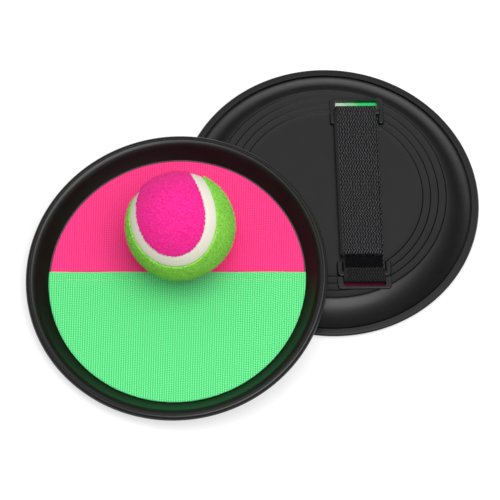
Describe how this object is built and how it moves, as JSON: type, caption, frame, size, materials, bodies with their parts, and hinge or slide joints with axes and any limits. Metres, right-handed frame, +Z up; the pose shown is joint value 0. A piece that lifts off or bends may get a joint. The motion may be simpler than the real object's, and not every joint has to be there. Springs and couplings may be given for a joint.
{
  "type": "hook and loop catch set",
  "caption": "Two round dished catch paddles with a two-colour loop pad and a hand strap each, and a felt ball with a raised seam.",
  "frame": {"origin": "on the floor, under the middle of the set's bounding box", "axes": "+Z up, +Y within a degree of the back paddle's strap, towards the end over its green pad half, +X from the front paddle towards the back paddle"},
  "size_m": [0.278, 0.2442, 0.0866],
  "materials": {
    "shell_plastic": "satin black moulded plastic",
    "pink_loop_fabric": "fluorescent pink knitted loop fabric on foam",
    "green_loop_fabric": "spring green knitted loop fabric on foam",
    "webbing": "black woven webbing",
    "fastener_tape": "black hook and loop tape",
    "seam_rubber": "cream white rubber",
    "pink_felt": "pink ball felt",
    "green_felt": "lime green ball felt"
  },
  "bodies": {
    "root": {"back_shell": "shell_plastic", "back_pad_pink": "pink_loop_fabric", "back_pad_green": "green_loop_fabric", "back_strap": "webbing", "back_loop_tape": "fastener_tape", "back_hook_patch": "fastener_tape", "front_shell": "shell_plastic", "front_pad_pink": "pink_loop_fabric", "front_pad_green": "green_loop_fabric", "front_strap": "webbing", "front_loop_tape": "fastener_tape", "front_hook_patch": "fastener_tape", "ball_core": "seam_rubber", "ball_felt_pink": "pink_felt", "ball_felt_green": "green_felt"}
  },
  "joints": []
}
